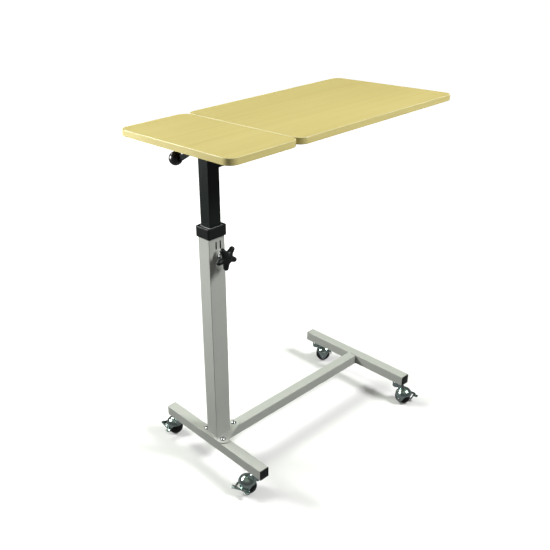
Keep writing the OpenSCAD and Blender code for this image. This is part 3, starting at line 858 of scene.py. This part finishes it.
def solid_shell(name, v, f, mats, thick, matrix, body, replaces=(), slot=None, angle=40, offset=-1, bev=0.25):
    """Builds a mesh from the points in millimetres and merges doubled vertices; no thickness or rim is added."""
    me = bpy.data.meshes.new(name)
    me.from_pydata([(p[0] * MM, p[1] * MM, p[2] * MM) for p in v], [], f)
    bm = bmesh.new()
    bm.from_mesh(me)
    bmesh.ops.remove_doubles(bm, verts=bm.verts, dist=1e-6)
    bm.to_mesh(me)
    bm.free()
    return me


# hood: a round skin about the ball, stretched up along its axis, cut by a V-shaped lower edge
HM = T(TR, 0, CZ) @ ROTY(22)      # axis of the hood


def hood_point(u, th, r):
    """u: azimuth about the hood's axis; th: angle from its top, 0..pi/2 and then down the side."""
    if th <= pi / 2:
        return Vector((r * sin(th) * cos(u), r * sin(th) * sin(u), HUP + r * cos(th)))
    s = (th - pi / 2) * r
    if s <= HUP:
        return Vector((r * cos(u), r * sin(u), HUP - s))
    a = (s - HUP) / r
    return Vector((r * cos(a) * cos(u), r * cos(a) * sin(u), -r * sin(a)))


def edge_z(x):
    """Height of the lower edge over the axle, at a distance x from it along the caster."""
    x = abs(x)
    s = sqrt(x * x + 3.0 ** 2) - 3.0       # rounded tip of the V
    return min(-12.0 + 1.7 * s, 13.0)


def hood_mesh():
    nu, nt = 120, 40
    cuts = []
    for i in range(nu):
        u = 2 * pi * i / nu
        a_, b_ = 0.3, pi * 0.93
        for _ in range(26):
            m_ = (a_ + b_) / 2
            p = HM @ hood_point(u, m_, HR)
            if p.z - CZ > edge_z(p.x - TR):
                a_ = m_
            else:
                b_ = m_
        cuts.append((a_ + b_) / 2)
    v, f = [], []
    top_o = len(v)
    rings = []
    # outer skin from the top down, rolled rim, inner skin back up
    for k in range(nt + 1):
        ring = []
        for i in range(nu):
            u = 2 * pi * i / nu
            th = cuts[i] * (0.02 + 0.98 * k / nt)
            ring.append(HM @ hood_point(u, th, HR))
        rings.append(ring)
    rim = []
    for q in range(1, 6):
        a = pi * q / 6
        ring = []
        for i in range(nu):
            u = 2 * pi * i / nu
            rr_ = (HR + HI) / 2 + (HR - HI) / 2 * cos(a)
            th = cuts[i] + 0.45 * (HR - HI) / HR * sin(a)
            ring.append(HM @ hood_point(u, th, rr_))
        rings.append(ring)
    for k in range(nt, -1, -1):
        ring = []
        for i in range(nu):
            u = 2 * pi * i / nu
            th = cuts[i] * (0.02 + 0.98 * k / nt)
            ring.append(HM @ hood_point(u, th, HI))
        rings.append(ring)
    return loft([[tuple(p) for p in r] for r in rings])


HOOD = Geo().add(*hood_mesh())
# neck: pressed web from the cup to the hood
neck_o = fil([(3, -3.9), (10.5, -4.1), (17.5, -7.6), (22.5, -13.6), (27, -18.6), (22, -26), (13.5, -31.5), (9.5, -23), (8, -19.6), (3, -19.6)], [0, 5, 8, 6, 2, 2, 4, 3, 1, 0], 5)
rings = []
for off, y in ((1.6, -7.4), (0.5, -7.0), (0.0, -6.0), (0.0, 6.0), (0.5, 7.0), (1.6, 7.4)):
    c = Vector((14, -15))
    rings.append([(c.x + (x - c.x) * (1 - off / 14), y, c.y + (z - c.y) * (1 - off / 14)) for x, z in neck_o])
HOOD.add(*loft(rings))
# cup with a rolled lower rim and a raceway lip
cup = fil([(4.3, -4.6), (9.4, -3.5), (11.0, -4.4), (11.5, -6.2), (11.2, -8.4), (11.5, -10.4), (11.3, -17.6), (11.9, -19.0), (11.2, -20.0), (7.4, -20.0), (7.2, -15.0), (4.3, -14.6)],
          [0, 0.8, 1.0, 1.5, 1.5, 1.5, 1.2, 0.5, 0.4, 0.5, 0.5, 0], 4)
HOOD.add(*lathe(cup, 64, closed=True))
# brake pivot boss on the +y ear
BPX, BPZ = TR + 8, CZ + 4
HOOD.add(*lathe(fil([(0, 22.9), (4.2, 22.9), (4.2, 26.2), (3.9, 26.5), (2.5, 26.5), (2.5, 29.2), (3.9, 29.2), (4.1, 29.7), (3.4, 30.4), (1.6, 30.7), (0, 30.75)], [0, 0, 0.3, 0.2, 0, 0, 0.2, 0.3, 0.4, 0.3, 0], 3), 40), T(BPX, 0, BPZ) @ ROTX(-90))

AX = Geo()
AX.add(*lathe([(0, -26), (2.5, -26), (2.5, 26), (0, 26)], 32), T(TR, 0, CZ) @ ROTX(-90))
for s in (1, -1):
    AX.add(*lathe(fil([(0, 25.2), (4.0, 25.4), (4.3, 25.8), (3.7, 26.35), (2.0, 26.65), (0, 26.7)], [0, 0.2, 0.4, 0.6, 0.8, 0], 4), 40), T(TR, 0, CZ) @ ROTX(-90 * s))

# ball wheel: two half balls, a narrow groove between them, flats with stepped hubs
wp = []
half = []
for k in range(0, 60):
    y = 20.2 * k / 59
    r = sqrt(WR * WR - y * y)
    if y < 0.9:
        r -= 0.9 * (1 - (y / 0.9) ** 2)
    half.append((r, y))
re = half[-1][0]
half += [(re - 0.25, 20.75), (re - 0.9, 21.0), (10.6, 21.0), (10.0, 20.7), (9.7, 20.0), (9.3, 19.4), (4.9, 19.4), (4.7, 19.8), (4.5, 20.8), (4.0, 21.0), (2.62, 21.0)]
wp = [(r, -y) for r, y in half[::-1]] + half[1:]
WH = Geo().add(*lathe(wp, 96, closed=True), T(TR, 0, CZ) @ ROTX(-90))

# brake: a pressed lever beside the ball, a foot tab at each end and a shoe
BRK = Geo()


def bent(points, outline_w, t, M, r=1.8, e=0.35):
    pass


def oblong(x0, x1, z0, z1, r):
    w, d = x1 - x0, z1 - z0
    return rr(w, d, min(r, w / 2 - 0.01, d / 2 - 0.01), 7, (x0 + x1) / 2, (z0 + z1) / 2)


# side plate, local (x, z) outline, thickness along y 27..29
side = fil([(TR - 14.6, BPZ - 4), (TR + 20, BPZ - 4), (TR + 31, BPZ - 4), (TR + 31, BPZ + 0.5), (TR + 27, BPZ + 3.8), (BPX + 5, BPZ + 4), (BPX, BPZ + 4.6), (BPX - 6, BPZ + 3.6), (TR - 6, BPZ + 0.6), (TR - 14.8, BPZ - 0.2), (TR - 14.6, BPZ - 4)],
           [0, 2, 1.2, 1.5, 3, 4, 5, 4, 4, 1.2, 0], 5)[:-1]
MS = T(0, 29, 0) @ ROTX(90)
BRK.add(*plate(side, 0.0, 2.0, 0.4, 3), MS)
# front tab, horizontal
BRK.add(*plate(rr(12.4, 10.6, 2.6, 6, TR - 9.4, 32.2), BPZ - 4.0, BPZ - 2.2, 0.4, 3))
# rear tab, horizontal
BRK.add(*plate(rr(16.2, 12.2, 3.0, 6, TR + 32.0, 23.0), BPZ - 4.0, BPZ - 2.2, 0.4, 3))
# cross web and shoe
BRK.add(*plate(rr(21, 7.6, 1.4, 5, 18.5, BPZ - 0.1), 0, 1.8, 0.35, 3), T(TR + 28, 0, 0) @ Matrix(((0, 0, 1, 0), (1, 0, 0, 0), (0, 1, 0, 0), (0, 0, 0, 1))))
BRK.add(*plate(rr(14.8, 4.8, 1.0, 5, 2.6, BPZ - 3.5), 0, 3.0, 0.4, 3), T(TR + 26.8, 0, 0) @ Matrix(((0, 0, 1, 0), (1, 0, 0, 0), (0, 1, 0, 0), (0, 0, 0, 1))))

first = {}
for i, (x, s, yaw) in enumerate(CAST, 1):
    M = Matrix.Translation(V3(CX + x, s * 170, T0)) @ ROTZ(yaw)
    for nm, geo, mat_, body, rep, ang in (("caster_hood", HOOD, CHROME, f"fork_{i}", f"caster_fork_{i}", 42), ("axle_rivet", AX, DARKCH, f"fork_{i}", f"caster_axle_{i}", 42),
                                          ("ball_wheel", WH, WHEELM, f"wheel_{i}", f"caster_wheel_{i}", 30), ("brake_lever", BRK, CHROME, f"brake_{i}", f"caster_brake_{i}", 42)):
        ob = piece(f"{nm}_{i}", geo.v, geo.f, [mat_], body, (rep,), angle=ang, matrix=M, mesh=first.get(nm))
        first[nm] = ob.data

# swivel stems: flange washer and race under the tube
g = Geo()
for x, s, yaw in CAST:
    M = T(CX + x, s * 170, T0)
    g.add(*lathe(fil([(0, -3.0), (8.8, -3.0), (9.5, -2.4), (9.5, -0.3), (9.2, 0.0), (5.0, 0.0), (5.0, 20.4), (4.4, 21.0), (0, 21.0)], [0, 0.5, 0.5, 0.2, 0.2, 0, 0.3, 0.3, 0], 3), 48), M)
    g.add(*lathe(fil([(0, -23), (5.6, -23), (6.4, -22.3), (6.4, -21.0), (5.2, -20.6), (4.0, -20.5), (4.0, -2.8), (0, -2.8)], [0, 0.5, 0.5, 0.4, 0.3, 0, 0, 0], 3), 40), M)
piece("swivel_stems", g.v, g.f, [ZINC], "base", ("caster_stems",))


# ------------------------------------------------------------------ carried-over CAD nodes
def carry(node, mat, bev=0.0, angle=32):
    ob = N[node]
    me = ob.data
    if not me.materials:
        me.materials.append(mat)
    for k in range(len(ob.material_slots)):
        ob.material_slots[k].link = "OBJECT"
        ob.material_slots[k].material = mat
    for p in me.polygons:
        p.use_smooth = True
    w = ob.modifiers.new("weld", "WELD")
    w.merge_threshold = 1e-6
    if bev:
        bm_ = ob.modifiers.new("bevel", "BEVEL")
        bm_.width = bev * MM
        bm_.segments = 2
        bm_.limit_method = "ANGLE"
        bm_.angle_limit = radians(angle)
        bm_.use_clamp_overlap = True
    es = ob.modifiers.new("split", "EDGE_SPLIT")
    es.split_angle = radians(34)
    wn_ = ob.modifiers.new("normals", "WEIGHTED_NORMAL")
    wn_.keep_sharp = True
    return ob


for nd, mt, bv in (("column_flange", GREY, 0.5), ("outer_column", GREY, 0.0), ("flange_nuts", ZINC, 0.0), ("caster_nuts", ZINC, 0.0),
                   ("glide_shoe", PLAST, 0.4), ("shaft_bearings", BLACKP, 0.5), ("tilt_clamp", BLACKP, 0.5), ("clamp_bolt", ZINC, 0.0),
                   ("small_top_rails", BLACKP, 0.4), ("small_top_crossbars", BLACKP, 0.4), ("small_top_screws", ZINC, 0.0),
                   ("shaft_clips", ZINC, 0.0), ("main_top_rails", BLACKP, 0.4), ("main_top_crossbars", BLACKP, 0.4), ("main_top_screws", ZINC, 0.0),
                   ("pressure_pad", BRASS, 0.0)):
    carry(nd, mt, bv)

# ------------------------------------------------------------------ floor, light
me = bpy.data.meshes.new("floor")
S = 40.0
me.from_pydata([(-S, -S, 0), (S, -S, 0), (S, S, 0), (-S, S, 0)], [], [(0, 1, 2, 3)])
floor = bpy.data.objects.new("floor", me)
scene.collection.objects.link(floor)
fm, fnt, fb = mk("pale_floor")
fv = coords(fnt, (1, 1, 1))
fnt.links.new(ramp(fnt, noise(fnt, fv, 3.0, 3.0), [(0.3, (0.80, 0.80, 0.80)), (0.7, (0.82, 0.82, 0.82))]), fb.inputs["Base Color"])
fb.inputs["Roughness"].default_value = 0.9
fb.inputs["Specular IOR Level"].default_value = 0.1
fb.inputs["Emission Color"].default_value = (1, 1, 1, 1)
ln = fnt.nodes.new("ShaderNodeVectorMath")
ln.operation = "LENGTH"
fnt.links.new(fv, ln.inputs[0])
mr = fnt.nodes.new("ShaderNodeMapRange")
mr.inputs["From Min"].default_value = 0.45
mr.inputs["From Max"].default_value = 1.5
mr.inputs["To Min"].default_value = 0.06
mr.inputs["To Max"].default_value = 0.85
fnt.links.new(ln.outputs["Value"], mr.inputs["Value"])
fnt.links.new(mr.outputs[0], fb.inputs["Emission Strength"])
me.materials.append(fm)
floor.visible_diffuse = False
floor.visible_glossy = False

# pale cove far behind the object, seen only where a view looks past the floor
cv, cf = [], []
prof = [(14.0, -0.02), (14.0, 1.5), (13.7, 3.5), (12.8, 5.5), (11.2, 7.4), (8.9, 9.0), (6.0, 10.2), (3.0, 10.8), (0.4, 11.0)]
NC = 64
for r_, z_ in prof:
    for q in range(NC):
        cv.append((r_ * cos(2 * pi * q / NC), r_ * sin(2 * pi * q / NC), z_))
for k_ in range(len(prof) - 1):
    for q in range(NC):
        q2 = (q + 1) % NC
        cf.append((k_ * NC + q2, k_ * NC + q, (k_ + 1) * NC + q, (k_ + 1) * NC + q2))
cm_ = bpy.data.meshes.new("cove")
cm_.from_pydata(cv, [], cf)
for p_ in cm_.polygons:
    p_.use_smooth = True
cove = bpy.data.objects.new("cove", cm_)
scene.collection.objects.link(cove)
cmat, cnt, cb = mk("pale_cove")
crv = coords(cnt, (1, 1, 1))
cnt.links.new(ramp(cnt, noise(cnt, crv, 0.4, 2.0), [(0.3, (0.97, 0.97, 0.97)), (0.7, (1.0, 1.0, 1.0))]), cb.inputs["Emission Color"])
cb.inputs["Base Color"].default_value = (0.5, 0.5, 0.5, 1)
cb.inputs["Emission Strength"].default_value = 1.15
cb.inputs["Roughness"].default_value = 0.9
cb.inputs["Specular IOR Level"].default_value = 0.1
cm_.materials.append(cmat)
cove.visible_diffuse = False
cove.visible_glossy = False
cove.visible_transmission = False
cove.visible_shadow = False

world = bpy.data.worlds.new("studio")
scene.world = world
world.use_nodes = True
wn = world.node_tree
wn.nodes.clear()
wo = wn.nodes.new("ShaderNodeOutputWorld")
bg = wn.nodes.new("ShaderNodeBackground")
wn.links.new(bg.outputs[0], wo.inputs[0])
tc = wn.nodes.new("ShaderNodeTexCoord")
sx = wn.nodes.new("ShaderNodeSeparateXYZ")
wn.links.new(tc.outputs["Generated"], sx.inputs[0])
rp = wn.nodes.new("ShaderNodeValToRGB")
e = rp.color_ramp.elements
e[0].position, e[0].color = 0.0, (0.20, 0.20, 0.20, 1)
e[1].position, e[1].color = 1.0, (0.30, 0.32, 0.28, 1)
k = e.new(0.08); k.color = (0.10, 0.10, 0.10, 1)
k = e.new(0.55); k.color = (0.10, 0.10, 0.10, 1)
k = e.new(0.84); k.color = (0.28, 0.30, 0.26, 1)
wn.links.new(sx.outputs[2], rp.inputs[0])
wn.links.new(rp.outputs[0], bg.inputs[0])
bg.inputs[1].default_value = 1.0


def area(name, loc, target, size, power, color=(1, 1, 1), spread=180):
    ld = bpy.data.lights.new(name, "AREA")
    ld.shape = "RECTANGLE"
    ld.size, ld.size_y = size
    ld.energy = power
    ld.color = color
    ld.spread = radians(spread)
    ob = bpy.data.objects.new(name, ld)
    scene.collection.objects.link(ob)
    ob.location = loc
    ob.rotation_euler = (Vector(target) - Vector(loc)).to_track_quat("-Z", "Y").to_euler()
    ob.visible_camera = False
    return ob


area("key", (1.02, -2.05, 2.73), (-0.1, 0, 0.55), (0.85, 0.85), 104)
area("left", (-1.28, 1.18, 1.15), (-0.3, 0, 0.77), (0.6, 0.6), 14.6, spread=106)
area("back", (-0.45, 2.25, 2.5), (-0.1, 0, 0.5), (0.8, 0.8), 42, (0.97, 1.02, 0.88))
